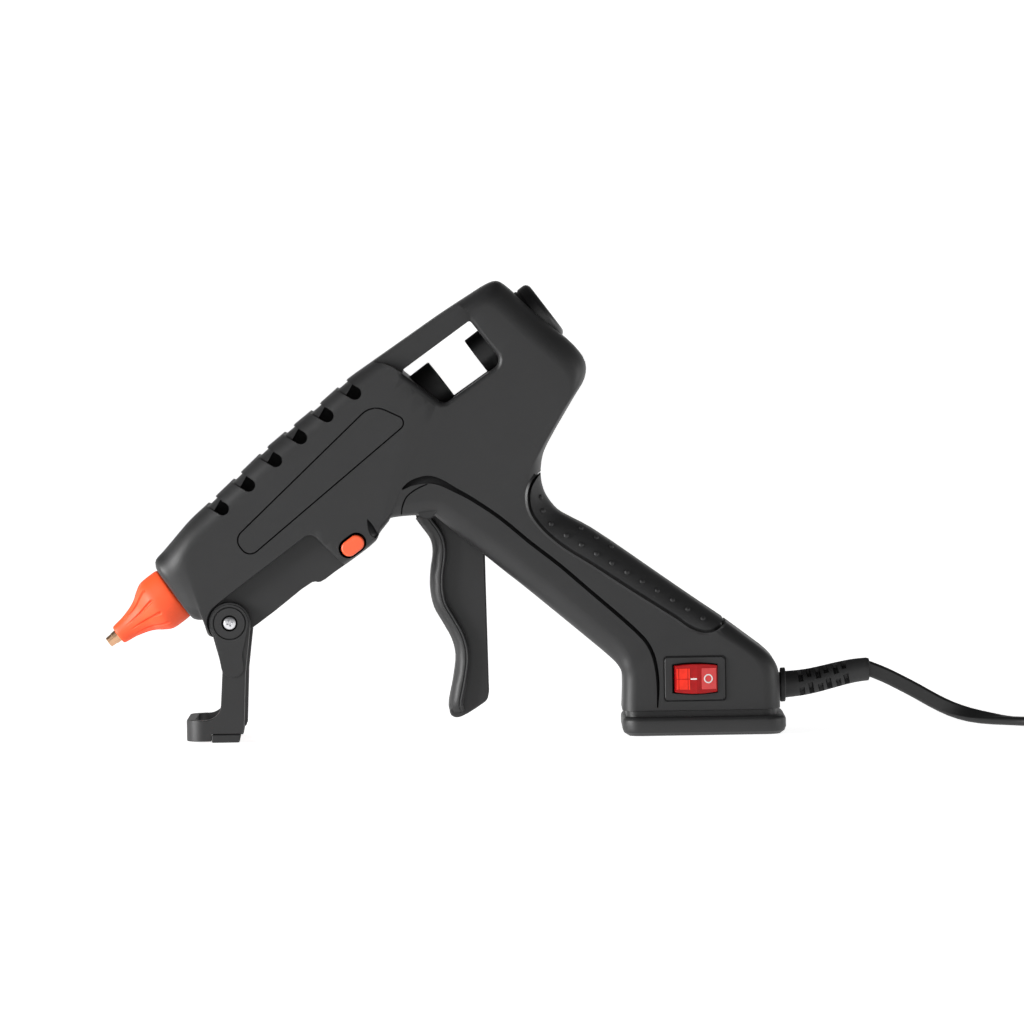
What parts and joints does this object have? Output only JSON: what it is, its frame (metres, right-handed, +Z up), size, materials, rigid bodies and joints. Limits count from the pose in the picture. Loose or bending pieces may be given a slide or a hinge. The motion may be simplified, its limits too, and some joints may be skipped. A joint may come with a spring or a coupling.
{
  "type": "hot glue gun",
  "caption": "Hot glue gun with a charcoal shell, orange nozzle sleeve, pull trigger that feeds the stick, fold-back stand, rocker switch and mains cord.",
  "frame": {"origin": "middle of the ground rectangle under the gun, leaving out its cord and the cord's strain relief", "axes": "+Z up; +X from the nozzle towards the cord; +Y across, from the side with the switch to the other"},
  "size_m": [0.3967, 0.0756, 0.155],
  "materials": {
    "shell_plastic": "fine matte texture",
    "grip_rubber": "matte",
    "dark_plastic": "satin",
    "orange_silicone": "satin",
    "brass": "turned",
    "aluminium": "as cast",
    "zinc_steel": "zinc plated",
    "ceramic": "unglazed",
    "mica": "sheet",
    "red_plastic": "clear gloss",
    "wire_sleeve": "woven sleeve",
    "cord_jacket": "satin"
  },
  "bodies": {
    "body": {"left_shell": "shell_plastic", "right_shell": "shell_plastic", "rubber_grip": "grip_rubber", "inlet_sleeve": "grip_rubber", "strain_relief": "grip_rubber", "coil_tie": "grip_rubber", "rear_guide": "dark_plastic", "entry_ring": "dark_plastic", "stand_bush_left": "dark_plastic", "stand_bush_right": "dark_plastic", "button_seat": "dark_plastic", "switch_housing": "dark_plastic", "cord_clamp": "dark_plastic", "nozzle_sleeve": "orange_silicone", "nozzle": "brass", "switch_terminal_1": "brass", "switch_terminal_2": "brass", "switch_terminal_3": "brass", "melt_chamber": "aluminium", "shell_screw_1": "zinc_steel", "shell_screw_2": "zinc_steel", "shell_screw_3": "zinc_steel", "shell_screw_4": "zinc_steel", "shell_screw_5": "zinc_steel", "shell_screw_6": "zinc_steel", "shell_screw_7": "zinc_steel", "chamber_clip": "zinc_steel", "thermal_fuse": "zinc_steel", "return_spring": "zinc_steel", "trigger_pin": "zinc_steel", "stand_screw_left": "zinc_steel", "stand_screw_right": "zinc_steel", "button_spring": "zinc_steel", "clamp_screw_1": "zinc_steel", "clamp_screw_2": "zinc_steel", "plug_pin_1": "zinc_steel", "plug_pin_2": "zinc_steel", "front_ring": "ceramic", "heater_element": "ceramic", "heat_shield": "mica", "heater_wire_live": "wire_sleeve", "heater_wire_neutral": "wire_sleeve", "cord_inner": "cord_jacket", "cord_tube": "cord_jacket", "cord_coil": "cord_jacket", "cord_end": "cord_jacket", "plug_body": "cord_jacket"},
    "trigger": {"trigger": "shell_plastic"},
    "link": {"feed_link": "zinc_steel"},
    "carriage": {"feed_carriage": "dark_plastic", "grip_collar": "zinc_steel"},
    "stand": {"stand": "shell_plastic", "foot_pad_left": "grip_rubber", "foot_pad_right": "grip_rubber"},
    "button": {"release_button": "orange_silicone"},
    "rocker": {"rocker": "red_plastic"}
  },
  "joints": [
    {"name": "trigger_pull", "type": "hinge", "parent": "body", "child": "trigger", "pos_m": [-0.005, 0, 0.079], "axis": [0, -1, 0], "range_deg": [0, 28], "stiffness_Nm_per_rad": 0.6, "springref_deg": -17.19},
    {"name": "link_swing", "type": "hinge", "parent": "trigger", "child": "link", "pos_m": [-0.01189, 0, 0.09563], "axis": [0, -1, 0], "range_deg": [-28, 0]},
    {"name": "carriage_slide", "type": "slide", "parent": "body", "child": "carriage", "axis": [-0.8039, 0, -0.5948], "range_m": [0, 0.0088], "deforming": ["return_spring"]},
    {"name": "stand_fold", "type": "hinge", "parent": "body", "child": "stand", "pos_m": [-0.0726, 0, 0.0406], "axis": [0, -1, 0], "range_deg": [0, 118]},
    {"name": "button_press", "type": "slide", "parent": "body", "child": "button", "axis": [0, 1, 0], "range_m": [0, 0.002], "stiffness_N_per_m": 400, "springref_m": -0.002, "deforming": ["button_spring"]},
    {"name": "rocker_tilt", "type": "hinge", "parent": "body", "child": "rocker", "pos_m": [0.08515, -0.0165, 0.0192], "axis": [0, 0, -1], "range_deg": [0, 14]}
  ],
  "couplings": [
    {"joint": "link_swing", "follows": "trigger_pull", "ratio": -1},
    {"joint": "carriage_slide", "follows": "trigger_pull", "m_per_rad": 0.017821}
  ]
}
